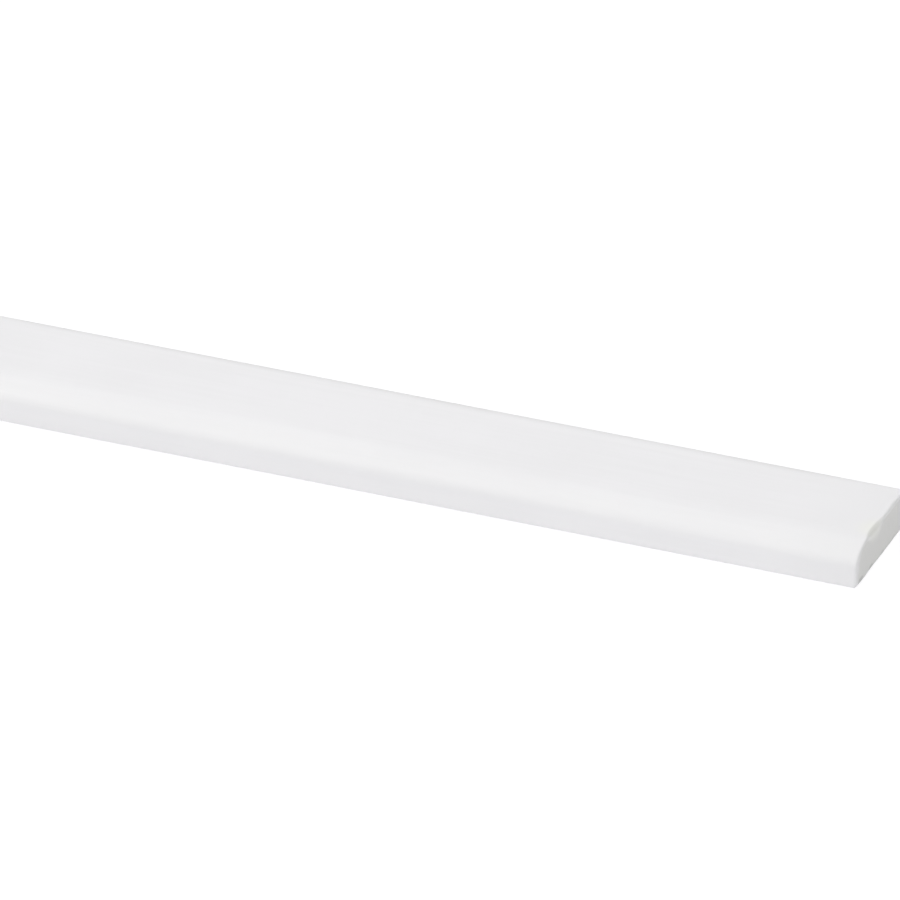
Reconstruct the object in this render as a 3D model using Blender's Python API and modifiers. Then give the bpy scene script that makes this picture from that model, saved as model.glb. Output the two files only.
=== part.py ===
"""A white cover strip: a flat moulding that lies on its back, cut square at both ends.

It runs along X. Its front edge, towards -Y, is rounded over, and its flat underside is at Z = 0."""

import math

import bpy

MM = 0.001

# Driving sizes of the strip
LENGTH = 200 * MM
WIDTH = 28 * MM
THICKNESS = 8 * MM

# The round that softens the front edge: how far it reaches over the top, and how far it drops down the front
FRONT_ROUND_REACH = 7 * MM
FRONT_ROUND_DROP = 4 * MM

# Smaller rounds: the top edge at the back, the two edges at the foot, and the rims of the cut ends
BACK_ROUND = 1 * MM
FOOT_ROUND = 0.5 * MM
END_EASE = 0.4 * MM

# Straight steps that make up each round
FRONT_ROUND_STEPS = 20
BACK_ROUND_STEPS = 6
FOOT_ROUND_STEPS = 3
END_EASE_STEPS = 3

# The rims of the cut ends are the only edges that turn by more than RIM_ANGLE, so only they are eased.
# Triangles within FLAT_ANGLE of each other are one flat face, and points closer than WELD_DISTANCE are one
RIM_ANGLE = math.radians(60)
FLAT_ANGLE = math.radians(0.1)
WELD_DISTANCE = 0.01 * MM

WHITE_PAINT = (0.86, 0.86, 0.87, 1.0)
PAINT_ROUGHNESS = 0.42


def clear_scene():
    for old in list(bpy.data.objects):
        bpy.data.objects.remove(old)


def paint_material():
    """White paint that covers the strip on every side, ends too."""
    paint = bpy.data.materials.new("white_paint")
    paint.use_nodes = True
    shader = paint.node_tree.nodes["Principled BSDF"]
    shader.inputs["Base Color"].default_value = WHITE_PAINT
    shader.inputs["Roughness"].default_value = PAINT_ROUGHNESS
    shader.inputs["Metallic"].default_value = 0.0
    return paint


def corner(centre_y, centre_z, reach, drop, quarter, steps):
    """A quarter of an ellipse, from the angle quarter * 90 degrees, counterclockwise."""
    points = []
    for step in range(steps + 1):
        angle = (quarter + step / steps) * math.pi / 2
        points.append((centre_y + reach * math.cos(angle), centre_z + drop * math.sin(angle)))
    return points


def cross_section():
    """The strip's outline in Y and Z, counterclockwise from the back edge of the foot."""
    front, back = -WIDTH / 2, WIDTH / 2
    return (
        corner(back - FOOT_ROUND, FOOT_ROUND, FOOT_ROUND, FOOT_ROUND, 3, FOOT_ROUND_STEPS)
        + corner(back - BACK_ROUND, THICKNESS - BACK_ROUND, BACK_ROUND, BACK_ROUND, 0, BACK_ROUND_STEPS)
        + corner(front + FRONT_ROUND_REACH, THICKNESS - FRONT_ROUND_DROP,
                 FRONT_ROUND_REACH, FRONT_ROUND_DROP, 1, FRONT_ROUND_STEPS)
        + corner(front + FOOT_ROUND, FOOT_ROUND, FOOT_ROUND, FOOT_ROUND, 2, FOOT_ROUND_STEPS)
    )


def moulding(name, outline, length):
    """A filled outline drawn out to both sides of X = 0."""
    curve = bpy.data.curves.new(name, "CURVE")
    curve.dimensions = "2D"
    curve.fill_mode = "BOTH"
    curve.extrude = length / 2
    spline = curve.splines.new("POLY")
    spline.points.add(len(outline) - 1)
    for point, (y, z) in zip(spline.points, outline):
        point.co = (y, z, 0, 1)
    spline.use_cyclic_u = True
    strip = bpy.data.objects.new(name, curve)
    # The curve's own x, y and z become the strip's width, height and length
    strip.rotation_euler = (math.pi / 2, 0, math.pi / 2)
    return strip


def ease_ends(strip):
    """Joins the ends to the sides, then takes the sharpness off the rim of each cut."""
    weld = strip.modifiers.new("join ends", "WELD")
    weld.merge_threshold = WELD_DISTANCE
    whole = strip.modifiers.new("one face for each end", "DECIMATE")
    whole.decimate_type = "DISSOLVE"
    whole.angle_limit = FLAT_ANGLE
    ease = strip.modifiers.new("ease ends", "BEVEL")
    ease.width = END_EASE
    ease.segments = END_EASE_STEPS
    ease.limit_method = "ANGLE"
    ease.angle_limit = RIM_ANGLE


def build():
    clear_scene()
    parts = bpy.data.collections.new("cover_strip")
    bpy.context.scene.collection.children.link(parts)
    strip = moulding("cover_strip", cross_section(), LENGTH)
    ease_ends(strip)
    strip.data.materials.append(paint_material())
    parts.objects.link(strip)


build()
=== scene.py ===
# %% [markdown]
# # A white cover strip
#
# A cover strip is a flat wooden moulding that hides the joint between two surfaces. This one is painted
# white on every side. It has a rounded front edge, a nearly square back edge and ends that were sawn
# square. There is hardly any colour in it, so everything that the eye reads comes from form and light:
# the long highlight on the front round, the slightly darker front face, the grey cut end, and the faint
# marks that the planer, the brush and the saw leave.

import math

import bmesh
import bpy
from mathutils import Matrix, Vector, noise


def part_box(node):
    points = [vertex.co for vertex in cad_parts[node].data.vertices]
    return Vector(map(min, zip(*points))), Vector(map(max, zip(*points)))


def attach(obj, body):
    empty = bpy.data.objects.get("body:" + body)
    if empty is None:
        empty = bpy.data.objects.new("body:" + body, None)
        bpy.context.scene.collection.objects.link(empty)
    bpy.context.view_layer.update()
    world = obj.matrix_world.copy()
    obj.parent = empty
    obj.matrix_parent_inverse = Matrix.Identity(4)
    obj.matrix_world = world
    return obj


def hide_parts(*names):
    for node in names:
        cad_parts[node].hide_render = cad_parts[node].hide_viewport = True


MM = 0.001

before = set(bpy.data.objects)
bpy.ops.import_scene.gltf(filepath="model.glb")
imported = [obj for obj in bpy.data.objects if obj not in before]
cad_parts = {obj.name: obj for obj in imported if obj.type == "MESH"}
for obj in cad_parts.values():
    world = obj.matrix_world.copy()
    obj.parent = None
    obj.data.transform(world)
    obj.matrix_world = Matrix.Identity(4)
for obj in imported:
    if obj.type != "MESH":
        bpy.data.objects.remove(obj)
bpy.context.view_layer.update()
low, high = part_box("cover_strip")
length, width, thickness = high - low
print(f"strip: {length / MM:.1f} x {width / MM:.1f} x {thickness / MM:.1f} mm")

# %% [markdown]
# ## The camera
#
# The picture was taken from the right, a little above, through a long lens from far away, so the strip's
# edges run almost parallel. A camera is easiest to place from what it sees: one corner of the strip that
# shows clearly, the direction from which it is seen, and how large a millimetre is in the picture. The
# camera then steps back along its own viewing direction, and the lens follows from the distance.

# %% Camera
AZIMUTH = math.radians(22.2)
ELEVATION = math.radians(28.4)
DISTANCE = 1.85
PICTURE_PX = 900
PX_PER_MM = 5.244
CORNER_PX = (855.8, 589.9)  # the foot of the front right corner, in pixels from the picture's top left
SENSOR_MM = 36
FAR_CLIP = 100

backwards = Vector((math.sin(AZIMUTH) * math.cos(ELEVATION), -math.cos(AZIMUTH) * math.cos(ELEVATION),
                    math.sin(ELEVATION)))
rightwards = Vector((math.cos(AZIMUTH), math.sin(AZIMUTH), 0))
upwards = backwards.cross(rightwards)
corner = Vector((high.x, low.y, low.z))
corner_right = (CORNER_PX[0] - PICTURE_PX / 2) / PX_PER_MM * MM
corner_down = (CORNER_PX[1] - PICTURE_PX / 2) / PX_PER_MM * MM
target = corner - rightwards * corner_right + upwards * corner_down

lens = bpy.data.cameras.new("camera")
lens.sensor_width = SENSOR_MM
lens.lens = PX_PER_MM / MM * DISTANCE * SENSOR_MM / PICTURE_PX
lens.clip_end = FAR_CLIP
camera = bpy.data.objects.new("camera", lens)
camera.location = target + backwards * DISTANCE
camera.rotation_euler = backwards.to_track_quat("Z", "Y").to_euler()
bpy.context.scene.collection.objects.link(camera)
bpy.context.scene.camera = camera
print(f"lens: {lens.lens:.0f} mm at {DISTANCE} m")

# %% [markdown]
# ## Shader maths that reads like maths
#
# A material is a network of nodes. Written out node by node, even a small sum takes many lines. This
# class wraps one output socket, so that `a * 2 + b` adds the Math nodes by itself.

# %% Sockets with operators
class Value:
    """A number that varies over the surface: one output socket of a node."""

    def __init__(self, shader, socket):
        self.shader, self.socket = shader, socket

    def maths(self, operation, *others):
        return self.shader.node("ShaderNodeMath", {"operation": operation}, [self, *others])

    def __add__(self, other):
        return self.maths("ADD", other)

    def __sub__(self, other):
        return self.maths("SUBTRACT", other)

    def __rsub__(self, other):
        return self.shader.node("ShaderNodeMath", {"operation": "SUBTRACT"}, [other, self])

    def __mul__(self, other):
        return self.maths("MULTIPLY", other)

    def __truediv__(self, other):
        return self.maths("DIVIDE", other)

    def __abs__(self):
        return self.maths("ABSOLUTE")

    __radd__, __rmul__ = __add__, __mul__


# %% [markdown]
# Any other node comes from `Shader.node`, which is given its type, its settings and what goes into its
# sockets. The nodes that the paint needs most often, a soft step and a mix of two colours, have short
# names of their own.

# %% A material, one node at a time
class Shader:
    """A material whose nodes are added one call at a time."""

    def __init__(self, name):
        self.material = bpy.data.materials.new(name)
        self.material.use_nodes = True
        self.tree = self.material.node_tree
        self.surface = self.tree.nodes["Principled BSDF"]

    def plug(self, socket, source):
        if isinstance(source, Value):
            self.tree.links.new(source.socket, socket)
        else:
            socket.default_value = source

    def surface_gets(self, name, source):
        self.plug(self.surface.inputs[name], source)

    def node(self, kind, settings=None, sockets=(), output=0):
        """Adds a node; sockets is a list in order, or a dict by name or place."""
        made = self.tree.nodes.new(kind)
        for name, setting in (settings or {}).items():
            setattr(made, name, setting)
        pairs = sockets.items() if isinstance(sockets, dict) else enumerate(sockets)
        for place, source in pairs:
            self.plug(made.inputs[place], source)
        return Value(self, made.outputs[output])

    def ramp(self, value, start, end):
        """0 below start, 1 above end, smooth in between."""
        return self.node("ShaderNodeMapRange", {"interpolation_type": "SMOOTHSTEP"},
                         {"Value": value, "From Min": start, "From Max": end})

    def at_least(self, lowest, value):
        return value.maths("MAXIMUM", lowest)

    def length(self, first, second):
        return (first * first + second * second).maths("SQRT")

    def mix(self, factor, first, second):
        """A colour between two colours."""
        return self.node("ShaderNodeMix", {"data_type": "RGBA"}, {0: factor, 6: first, 7: second}, output=2)


# %% [markdown]
# ## Light
#
# The strip was photographed for a catalogue, in light so soft that it throws no shadow. The front round
# catches the most, the top and the front face a little less, and the cut end, which looks away to the
# right, is clearly greyer. Four large soft boxes do that: one overhead, one in front, one at the left,
# and a weaker one behind that lifts the top and the back edge. A dim sky fills what they leave dark.

# %% Sky and soft boxes
SKY_LIGHT = 0.05
LAMP_DISTANCE = 2.4


def softbox(name, direction, size, power, colour):
    """A square lamp that hangs in a direction from the strip and looks at it."""
    lamp = bpy.data.lights.new(name, "AREA")
    lamp.size = size
    lamp.energy = power
    lamp.color = colour
    box = bpy.data.objects.new(name, lamp)
    towards = Vector(direction).normalized()
    box.location = towards * LAMP_DISTANCE
    box.rotation_euler = towards.to_track_quat("Z", "Y").to_euler()
    bpy.context.scene.collection.objects.link(box)
    print(f"soft box {name}: {power} W")


world = bpy.data.worlds.new("studio")
world.use_nodes = True
bpy.context.scene.world = world
sky = world.node_tree.nodes["Background"]
sky.inputs["Color"].default_value = (1, 1, 1, 1)
sky.inputs["Strength"].default_value = SKY_LIGHT

softbox("overhead", (0.3, 0, 1), size=2.2, power=32.6, colour=(0.996, 1.0, 0.98))
softbox("front", (0.1, -1, 0.6), size=2.2, power=19.2, colour=(0.978, 0.969, 1.0))
softbox("left", (-1, -0.3, 1), size=2.0, power=25.6, colour=(1.0, 1.0, 0.987))
softbox("back", (-0.45, 0.8, 0.75), size=1.8, power=13.0, colour=(0.945, 0.93, 1.0))

# %% [markdown]
# The table has to come out pure white, brighter than the white strip on it. No white paint could do that
# in this light, so the table is a mid grey that also glows, as a lit table for product photographs does.
# The glow reaches the strip from below too, which keeps the front face and the cut end light. The view
# transform is Standard, so that a white of 1 is shown as white.

# %% Table
TABLE_SIZE = 30
TABLE_GREY = (0.3, 0.3, 0.3, 1)
TABLE_GLOW = 0.795
TABLE_GLOW_COLOUR = (0.987, 0.985, 1.0, 1)

bpy.ops.mesh.primitive_plane_add(size=TABLE_SIZE, location=(0, 0, low.z))
table = bpy.context.object
table.name = "table"
glowing = Shader("table_white")
glowing.surface_gets("Base Color", TABLE_GREY)
glowing.surface_gets("Roughness", 1.0)
glowing.surface_gets("Specular IOR Level", 0.0)
glowing.surface_gets("Emission Color", TABLE_GLOW_COLOUR)
glowing.surface_gets("Emission Strength", TABLE_GLOW)
table.data.materials.append(glowing.material)
bpy.context.scene.view_settings.view_transform = "Standard"
print("table:", TABLE_SIZE, "m wide")

# %% [markdown]
# ## The body of the strip
#
# A joiner starts with a square lath and runs it past shaped knives. The mesh is made in the same order:
# a block, then a bevel on each long edge. These helpers make the block, find a long edge by its place in
# the section, and bevel it.

# %% Helpers for the body
NEAR = 0.001 * MM


def block(lowest, highest):
    """A plain box between two corners."""
    body = bmesh.new()
    bmesh.ops.create_cube(body, size=1)
    bmesh.ops.scale(body, vec=highest - lowest, verts=body.verts)
    bmesh.ops.translate(body, vec=(highest + lowest) / 2, verts=body.verts)
    return body


def long_edges(body, y, z):
    """The edges along X that lie at y and z."""
    def on_line(vert):
        return abs(vert.co.y - y) < NEAR and abs(vert.co.z - z) < NEAR
    return [edge for edge in body.edges if all(on_line(vert) for vert in edge.verts)]


def round_over(body, edges, radius, steps):
    """Turns edges into rounds, each made of this many flat steps."""
    bmesh.ops.bevel(body, geom=edges, offset=radius, offset_type="OFFSET", segments=steps, profile=0.5,
                    affect="EDGES", clamp_overlap=False, material=-1)


# %% [markdown]
# A bevel cuts a circular round, but this front round is wider than it is deep. So the block is made
# taller for a moment, the bevel is cut, and the block is brought back to its height, which turns the
# circle into the ellipse.

# %% A block with rounded long edges
FRONT_ROUND_REACH = 7 * MM
FRONT_ROUND_DROP = 4 * MM
BACK_ROUND = 1 * MM
FOOT_ROUND = 0.5 * MM
FRONT_ROUND_STEPS = 40
BACK_ROUND_STEPS = 8
FOOT_ROUND_STEPS = 4

strip_mesh = block(low, high)
stretch = FRONT_ROUND_REACH / FRONT_ROUND_DROP
bmesh.ops.scale(strip_mesh, vec=(1, 1, stretch), verts=strip_mesh.verts)
front_edge = long_edges(strip_mesh, low.y, high.z * stretch)
round_over(strip_mesh, front_edge, FRONT_ROUND_REACH, FRONT_ROUND_STEPS)
bmesh.ops.scale(strip_mesh, vec=(1, 1, 1 / stretch), verts=strip_mesh.verts)
round_over(strip_mesh, long_edges(strip_mesh, high.y, high.z), BACK_ROUND, BACK_ROUND_STEPS)
foot_edges = long_edges(strip_mesh, low.y, low.z) + long_edges(strip_mesh, high.y, low.z)
round_over(strip_mesh, foot_edges, FOOT_ROUND, FOOT_ROUND_STEPS)
print("rounded block:", len(strip_mesh.faces), "faces")

# %% [markdown]
# ## The cut ends
#
# A saw leaves a sharp rim, which sandpaper and then paint take off. The rim is every edge between an end
# face and a side, so it is found by its faces, not by its place.

# %% Eased rims
END_EASE = 0.4 * MM
END_EASE_STEPS = 4
FACES_AN_END = 0.9
FLAT_END = 0.999


def facing_along(faces, least):
    """The faces that look along the strip at least this squarely, 1 being quite square."""
    return [face for face in faces if abs(face.normal.x) > least]


strip_mesh.normal_update()
end_faces = set(facing_along(strip_mesh.faces, FACES_AN_END))
rims = [edge for edge in strip_mesh.edges if len(end_faces & set(edge.link_faces)) == 1]
round_over(strip_mesh, rims, END_EASE, END_EASE_STEPS)
print("with eased rims:", len(strip_mesh.faces), "faces")

# %% [markdown]
# ## Enough points to carve
#
# Paint and planing marks are shallow, so they need many small faces. Planes cut the whole strip along
# its length, and finer planes cut only the two end faces. The long edges are then divided along X in one
# go, and a few more cuts next to the ends give the worn rims something to bend.

# %% Cutting with planes
CUT_TOLERANCE = 0.02 * MM


def steps_between(start, end, pitch):
    """Places between start and end, evenly spaced and about a pitch apart."""
    count = round((end - start) / pitch)
    return [start + (end - start) * step / count for step in range(1, count)]


def cut(body, faces, axis, place):
    """Cuts these faces with the plane where the axis has this value."""
    point, normal = Vector((0, 0, 0)), Vector((0, 0, 0))
    point[axis], normal[axis] = place, 1
    edges = dict.fromkeys(edge for face in faces for edge in face.edges)
    verts = dict.fromkeys(vert for face in faces for vert in face.verts)
    bmesh.ops.bisect_plane(body, geom=[*verts, *edges, *faces], dist=CUT_TOLERANCE, plane_co=point,
                           plane_no=normal)


# %% [markdown]
# A face that one plane has cut is two faces for the next, so the end faces are looked up again before
# each cut. Each cut names its edges and points once, in a fixed order, so that every run gives the same
# mesh.

# %% A grid of small faces
SIDE_PITCH = 1.0 * MM
END_PITCH = 0.3 * MM
LENGTH_PITCH = 1.0 * MM
CUTS_NEXT_TO_AN_END = [inset * MM for inset in (0.55, 0.7, 0.85, 1.05, 1.3)]

for axis in (1, 2):
    for place in steps_between(low[axis], high[axis], SIDE_PITCH):
        cut(strip_mesh, strip_mesh.faces[:], axis, place)
for axis in (1, 2):
    for place in steps_between(low[axis], high[axis], END_PITCH):
        strip_mesh.normal_update()
        cut(strip_mesh, facing_along(strip_mesh.faces, FLAT_END), axis, place)

span = [edge for edge in strip_mesh.edges if edge.calc_length() > length / 2]
bmesh.ops.subdivide_edges(strip_mesh, edges=span, cuts=round(length / LENGTH_PITCH) - 1,
                          use_grid_fill=True)
for inset in CUTS_NEXT_TO_AN_END:
    for place in (low.x + inset, high.x - inset):
        cut(strip_mesh, strip_mesh.faces[:], 0, place)
print("with a fine grid:", len(strip_mesh.faces), "faces")

# %% [markdown]
# ## Worn rims
#
# Sanding takes more off the rim of a cut than off its middle, and never the same amount twice. To wear a
# rim, every point needs to know two things: how deep it lies behind the cut, and how deep inside the
# outline of the section. The second is the smallest of its depths at the four corners. A corner with a
# round is a quarter of an ellipse, and the depth in it is the distance from the curve, worked out as if
# the curve were straight there.

# %% How deep a point lies inside the section
def corner_depth(from_side, from_face, reach, drop):
    """The depth at one corner, whose round reaches and drops that far."""
    if from_side >= reach or from_face >= drop:
        return min(from_side, from_face)
    u, v = 1 - from_side / reach, 1 - from_face / drop
    radius = math.hypot(u, v)
    return (1 - radius) * radius / math.hypot(u / reach, v / drop)


def depth_inside(y, z):
    front, back, foot, face = y - low.y, high.y - y, z - low.z, high.z - z
    return min(corner_depth(front, face, FRONT_ROUND_REACH, FRONT_ROUND_DROP),
               corner_depth(back, face, BACK_ROUND, BACK_ROUND),
               corner_depth(front, foot, FOOT_ROUND, FOOT_ROUND),
               corner_depth(back, foot, FOOT_ROUND, FOOT_ROUND))


def inwards(y, z, step=0.01 * MM):
    """The direction in which the depth grows fastest."""
    slope = Vector((0, depth_inside(y + step, z) - depth_inside(y - step, z),
                    depth_inside(y, z + step) - depth_inside(y, z - step)))
    return slope.normalized() if slope.length > 0 else slope


middle_depth = depth_inside((low.y + high.y) / 2, (low.z + high.z) / 2)
print(f"the middle lies {middle_depth / MM:.1f} mm deep")

# %% [markdown]
# The visible cut has lost a flake at its top edge, just behind the front round. Its floor is a plane
# that leans back, and its lower border is a parabola. It is part of the form, so it moves points, and
# the rim is worn after it, which softens its upper edge as well.

# %% A flake at the visible end
FLAKE_CENTRE = 10.8 * MM
FLAKE_HALF_WIDTH = 4.2 * MM
FLAKE_HEIGHT = 1.0 * MM
FLAKE_SLOPE = math.radians(24)


def flake(y):
    """1 in the middle of the flake, 0 outside it."""
    across = (y - low.y - FLAKE_CENTRE) / FLAKE_HALF_WIDTH
    return max(0.0, 1 - across * across)


def end_place(side, y, z):
    """How far from the middle the end lies, at this width and height."""
    if side < 0:
        return high.x
    height = FLAKE_HEIGHT * flake(y) - (high.z - z)
    return high.x - max(0.0, height) * math.tan(FLAKE_SLOPE)


print(f"flake: up to {(high.x - end_place(1, low.y + FLAKE_CENTRE, high.z)) / MM:.2f} mm deep")

# %% [markdown]
# To wear a rim, each point near an end is pulled onto a quarter circle between the end and the side. A
# slow noise makes the circle larger here and smaller there. At the visible end, the rim is worn a little
# more above the flake, and more again at the foot of the front corner, which was knocked.

# %% Wearing a rim
WORN_RADIUS = 0.5 * MM
WORN_UNEVENNESS = 0.3
WORN_WAVES = Vector((10, 300, 300))
FLAKE_WEAR = 0.12 * MM
KNOCK_WEAR = 0.25 * MM
KNOCK_REACH = 4 * MM


def wear(place):
    """The radius to which the rim is worn near this point."""
    radius = WORN_RADIUS * (1 + WORN_UNEVENNESS * noise.noise(place * WORN_WAVES))
    if place.x > 0:
        from_foot = math.hypot(place.y - low.y, place.z - low.z)
        radius += FLAKE_WEAR * flake(place.y) + KNOCK_WEAR * max(0.0, 1 - from_foot / KNOCK_REACH)
    return radius


def worn(place):
    """Where a point ends up after the flake has broken out and the rim has been worn."""
    side = math.copysign(1, place.x)
    end = end_place(side, place.y, place.z)
    behind, inside = max(0.0, end - abs(place.x)), max(0.0, depth_inside(place.y, place.z))
    radius = wear(place)
    result = Vector((side * min(end, abs(place.x)), place.y, place.z))
    if behind >= radius or inside >= radius:
        return result
    pull = max(0.0, 1 - radius / math.hypot(radius - behind, radius - inside))
    result += inwards(place.y, place.z) * (radius - inside) * pull
    result.x -= side * (radius - behind) * pull
    return result


# %% [markdown]
# ## Marks of making
#
# Nothing planed and painted is quite flat. The knives leave a long, slow unevenness, and the saw leaves
# shallow grooves that cross the end at a slant.

# %% Planing and saw marks
PLANING_DEPTH = 0.05 * MM
PLANING_WAVES = Vector((25, 160, 160))
SAW_DEPTH = 0.03 * MM
SAW_PITCH = 0.9 * MM
SAW_DIRECTION = Vector((0, 0.9, 0.35))
SAW_WAVES = 400


def planing(place):
    """From 0 to 1: slow waves that run along the strip."""
    return min(1.0, max(0.0, 0.5 + 0.5 * noise.fractal(place * PLANING_WAVES, 1.0, 2.0, 3)))


def saw_marks(place):
    """From 0 to 1: grooves across the end, a little uneven."""
    groove = math.sin(place.dot(SAW_DIRECTION) / SAW_PITCH * math.pi)
    wander = noise.noise(Vector((place.y * SAW_WAVES, place.z * SAW_WAVES, 3)))
    return 0.5 + 0.25 * groove + 0.25 * wander


# %% [markdown]
# Every mark goes inwards, so the strip never grows past its true size. All new places are worked out
# before any point moves, because a point's normal changes as soon as its neighbours move.

# %% Moving every point
strip_mesh.normal_update()
places = []
for vert in strip_mesh.verts:
    relief = vert.normal * PLANING_DEPTH * planing(vert.co)
    if high.x - abs(vert.co.x) < NEAR:
        relief += vert.normal * SAW_DEPTH * saw_marks(vert.co)
    places.append(worn(vert.co) - relief)
furthest = max((place - vert.co).length for vert, place in zip(strip_mesh.verts, places))
for vert, place in zip(strip_mesh.verts, places):
    vert.co = place
print(f"moved {len(places)} points, by up to {furthest / MM:.2f} mm")

# %% [markdown]
# ## From mesh to object
#
# The cuts leave some faces with more than four corners along the rims. They are split into triangles, so
# that nothing is left to chance in how they bend. Smooth shading suits the whole strip, because even its
# sharpest edges are rounds of several faces.

# %% The finished piece
def finished(name, body):
    """Turns the modelled form into an object, shaded smooth."""
    bmesh.ops.triangulate(body, faces=[face for face in body.faces if len(face.verts) > 4])
    bmesh.ops.recalc_face_normals(body, faces=body.faces)
    mesh = bpy.data.meshes.new(name)
    body.to_mesh(mesh)
    body.free()
    mesh.shade_smooth()
    piece = bpy.data.objects.new(name, mesh)
    bpy.context.scene.collection.objects.link(piece)
    triangles = sum(len(face.vertices) - 2 for face in mesh.polygons)
    print(f"{name}: {triangles} triangles")
    return piece


strip = finished("painted_strip", strip_mesh)

# %% [markdown]
# ## White paint
#
# White paint is never one white. Four noise patterns do most of the work. Streaks follow the brush, clouds
# are where the paint dried unevenly, patches are a few millimetres wide, and orange peel is the fine
# texture of the dry skin. They read Object coordinates, which are metres from the strip's origin. For
# the streaks, a Mapping node squeezes the pattern far more across the strip than along it.

# %% Patterns in the paint
STREAK_SQUEEZE = (30, 900, 900)

paint = Shader("white_paint")
spot = paint.node("ShaderNodeTexCoord", output=3)  # output 3 is Object
x, y, z = (paint.node("ShaderNodeSeparateXYZ", None, [spot], output=part) for part in range(3))
drawn_out = paint.node("ShaderNodeMapping", None, {"Vector": spot, "Scale": STREAK_SQUEEZE})


def pattern(where, scale, detail, roughness=0.5):
    return paint.node("ShaderNodeTexNoise", None,
                      {"Vector": where, "Scale": scale, "Detail": detail, "Roughness": roughness})


streaks = pattern(drawn_out, scale=1.0, detail=4.0, roughness=0.6)
clouds = pattern(spot, scale=45.0, detail=3.0)
patches = pattern(spot, scale=260.0, detail=3.0)
orange_peel = pattern(spot, scale=1400.0, detail=2.0)
print("white_paint:", len(paint.tree.nodes), "nodes for its patterns")

# %% [markdown]
# The paint is thinner where the brush dragged, and a shade darker there. Along the back top edge it is
# darkened as painted shade, where the edge turns away from the light. Towards both ends the paint gets a
# little darker. All of it is very faint.

# %% Paint on the sides
PAINT = (0.871, 0.868, 0.875, 1)
THIN_PAINT = (0.859, 0.856, 0.863, 1)
ARRIS_SHADE_PAINT = (0.8, 0.798, 0.8, 1)
NEAR_END_PAINT = (0.848, 0.846, 0.851, 1)
THIN_RANGE = (0.42, 0.62)
ARRIS_RANGE = (2.6 * MM, 0.9 * MM)  # how far inside the back top corner it starts, and is full
ARRIS_LEAST = 0.3
ARRIS_CLOUDED = 1.2
NEAR_END_REACH = 22 * MM

thin = paint.ramp(streaks * 0.5 + clouds * 0.5, *THIN_RANGE)
colour = paint.mix(thin, PAINT, THIN_PAINT)
# painted shade along the back top edge, which turns away from the light
back_arris_shade = paint.ramp(y + z, *(high.y + high.z - inset for inset in ARRIS_RANGE))
colour = paint.mix(back_arris_shade * (ARRIS_LEAST + clouds * ARRIS_CLOUDED), colour, ARRIS_SHADE_PAINT)
# a little darker towards both ends
towards_ends = paint.ramp(abs(x), high.x - NEAR_END_REACH, high.x)
colour = paint.mix(towards_ends, colour, NEAR_END_PAINT)

# %% [markdown]
# Around the flake, the bare wood has tinted the paint a little yellow. The distance from the flake's
# middle, along and across the strip, gives a round, soft patch.

# %% A yellow tint at the flake
YELLOWED_PAINT = (0.86, 0.863, 0.825, 1)
YELLOW_RANGE = (1 * MM, 5 * MM)

from_flake = paint.length(x - high.x, y - low.y - FLAKE_CENTRE)
colour = paint.mix(1 - paint.ramp(from_flake, *YELLOW_RANGE), colour, YELLOWED_PAINT)

# %% [markdown]
# ## Paint on the cut ends
#
# The saw cut drinks paint and stays rougher. It is also coloured greyer than the sides: partly duller
# paint, partly painted shade, since the cut looks away from the light. The good paint of the sides laps
# over the rim and ends in an uneven border a little way down the cut. So the material needs the depth
# inside the outline, as the worn rims did. On the front round, the depth is a share of the ellipse's
# radius, which grows from its drop at the top to its reach at the front. Here u and v say how far into the
# round a point lies, from 0 where the round starts to 1 at the outside. Behind the round u is 0, and the
# same sum gives the depth below the top face.

# %% Where the cut is bare
LAP_WIDTH = 0.55 * MM
LAP_UNEVENNESS = 0.8 * MM
FRONT_LAP = 0.6 * MM
FRONT_LAP_RANGE = (4.5 * MM, 7.5 * MM)  # heights between which the lap narrows to its usual width
FLAKE_LAP = 1.0 * MM
LAP_BORDER = (0.6, 1.6)
END_PAINT_INSET = 0.3 * MM

u = paint.at_least(0, (low.y + FRONT_ROUND_REACH - y) / FRONT_ROUND_REACH)
v = paint.at_least(0, (z - high.z + FRONT_ROUND_DROP) / FRONT_ROUND_DROP)
radius = FRONT_ROUND_DROP + u * u * (FRONT_ROUND_REACH - FRONT_ROUND_DROP)
inside = (1 - paint.length(u, v)) * radius

low_front = 1 - paint.ramp(z, *FRONT_LAP_RANGE)
across = (y - low.y - FLAKE_CENTRE) / FLAKE_HALF_WIDTH
visible_end = paint.ramp(x, 0, high.x)
at_flake = paint.at_least(0, 1 - across * across) * visible_end
lap = LAP_WIDTH + low_front * FRONT_LAP + (patches - 0.5) * LAP_UNEVENNESS + at_flake * FLAKE_LAP
on_the_cut = paint.ramp(abs(x), high.x - WORN_RADIUS, high.x - END_PAINT_INSET)
bare = paint.ramp(inside / lap, *LAP_BORDER) * on_the_cut

# %% [markdown]
# With that mask, the greyer colour of the cut, duller paint and painted shade together, is one more mix.

# %% Paint on the cuts
# greyer than the sides: duller paint and painted shade on the cut end
CUT_PAINT_AND_SHADE = (0.755, 0.755, 0.738, 1)

colour = paint.mix(bare, colour, CUT_PAINT_AND_SHADE)
print("white_paint:", len(paint.tree.nodes), "nodes with the cut ends")
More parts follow.
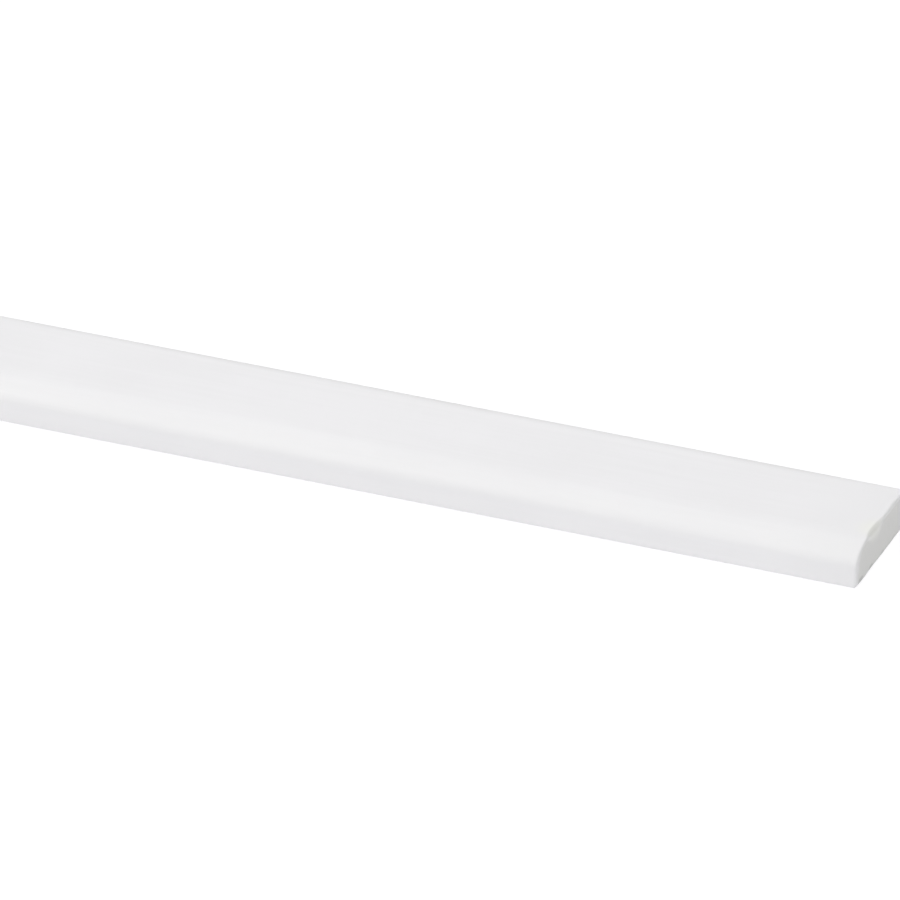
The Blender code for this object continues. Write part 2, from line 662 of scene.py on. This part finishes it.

# %% [markdown]
# ## Painted shade at the foot
#
# The foot is painted darker, as painted shade where it turns down to the table: a hardly visible line all
# round, a little stronger on the rough cut, and a few spots on the visible cut where the dark band rises
# higher and grows darker. A cosine across the strip and the patches together say where a spot is, and the
# spots fade towards the back.

# %% Painted shade at the foot, with spots where it rises higher
FOOT_SHADE_PAINT = (0.45, 0.45, 0.44, 1)
SPOT_PITCH = 6.2 * MM
SPOT_START = 2.5 * MM
SPOT_REGULARITY = 0.25
SPOT_FADE = 22  # lost per metre from the front
SPOT_RANGE = (0.2, 0.6)
SPOT_RISE = 0.5 * MM
FOOT_SHADE_RANGE = (0.4 * MM, 1.15 * MM)
FOOT_SHADE_ALL_ROUND = 0.07
FOOT_SHADE_ON_THE_CUT = 0.08
FOOT_SHADE_IN_A_SPOT = 0.5

waves = ((y - low.y - SPOT_START) / SPOT_PITCH * (2 * math.pi)).maths("COSINE")
heaps = waves * SPOT_REGULARITY + patches - (y - low.y) * SPOT_FADE
raised_spots = paint.ramp(heaps, *SPOT_RANGE) * bare * visible_end
foot_band = 1 - paint.ramp(z - raised_spots * SPOT_RISE, *FOOT_SHADE_RANGE)
# painted shade at the foot: all round, stronger on the cut and in the spots
foot_shade = foot_band * (FOOT_SHADE_ALL_ROUND + bare * FOOT_SHADE_ON_THE_CUT + raised_spots * FOOT_SHADE_IN_A_SPOT)
colour = paint.mix(foot_shade, colour, FOOT_SHADE_PAINT)

# %% [markdown]
# ## Sheen and fine relief
#
# Satin paint is rougher where it is thin, and rougher still on the cut. Streaks and orange peel are far
# too fine for the mesh, so they are a bump of a few hundredths of a millimetre.

# %% Sheen, bump and finish
SATIN = 0.40
THIN_ROUGHER = 0.08
CUT_ROUGHER = 0.15
BUMP_STRENGTH = 0.15
BUMP_DEPTH = 0.02 * MM

fine = {"Height": streaks * 0.5 + orange_peel * 0.5, "Strength": BUMP_STRENGTH, "Distance": BUMP_DEPTH}
paint.surface_gets("Base Color", colour)
paint.surface_gets("Roughness", SATIN + thin * THIN_ROUGHER + bare * CUT_ROUGHER)
paint.surface_gets("Normal", paint.node("ShaderNodeBump", None, fine))
strip.data.materials.append(paint.material)
print("white_paint:", len(paint.tree.nodes), "nodes in all")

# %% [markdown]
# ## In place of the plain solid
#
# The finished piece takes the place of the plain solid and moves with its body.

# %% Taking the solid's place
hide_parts("cover_strip")
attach(strip, "root")
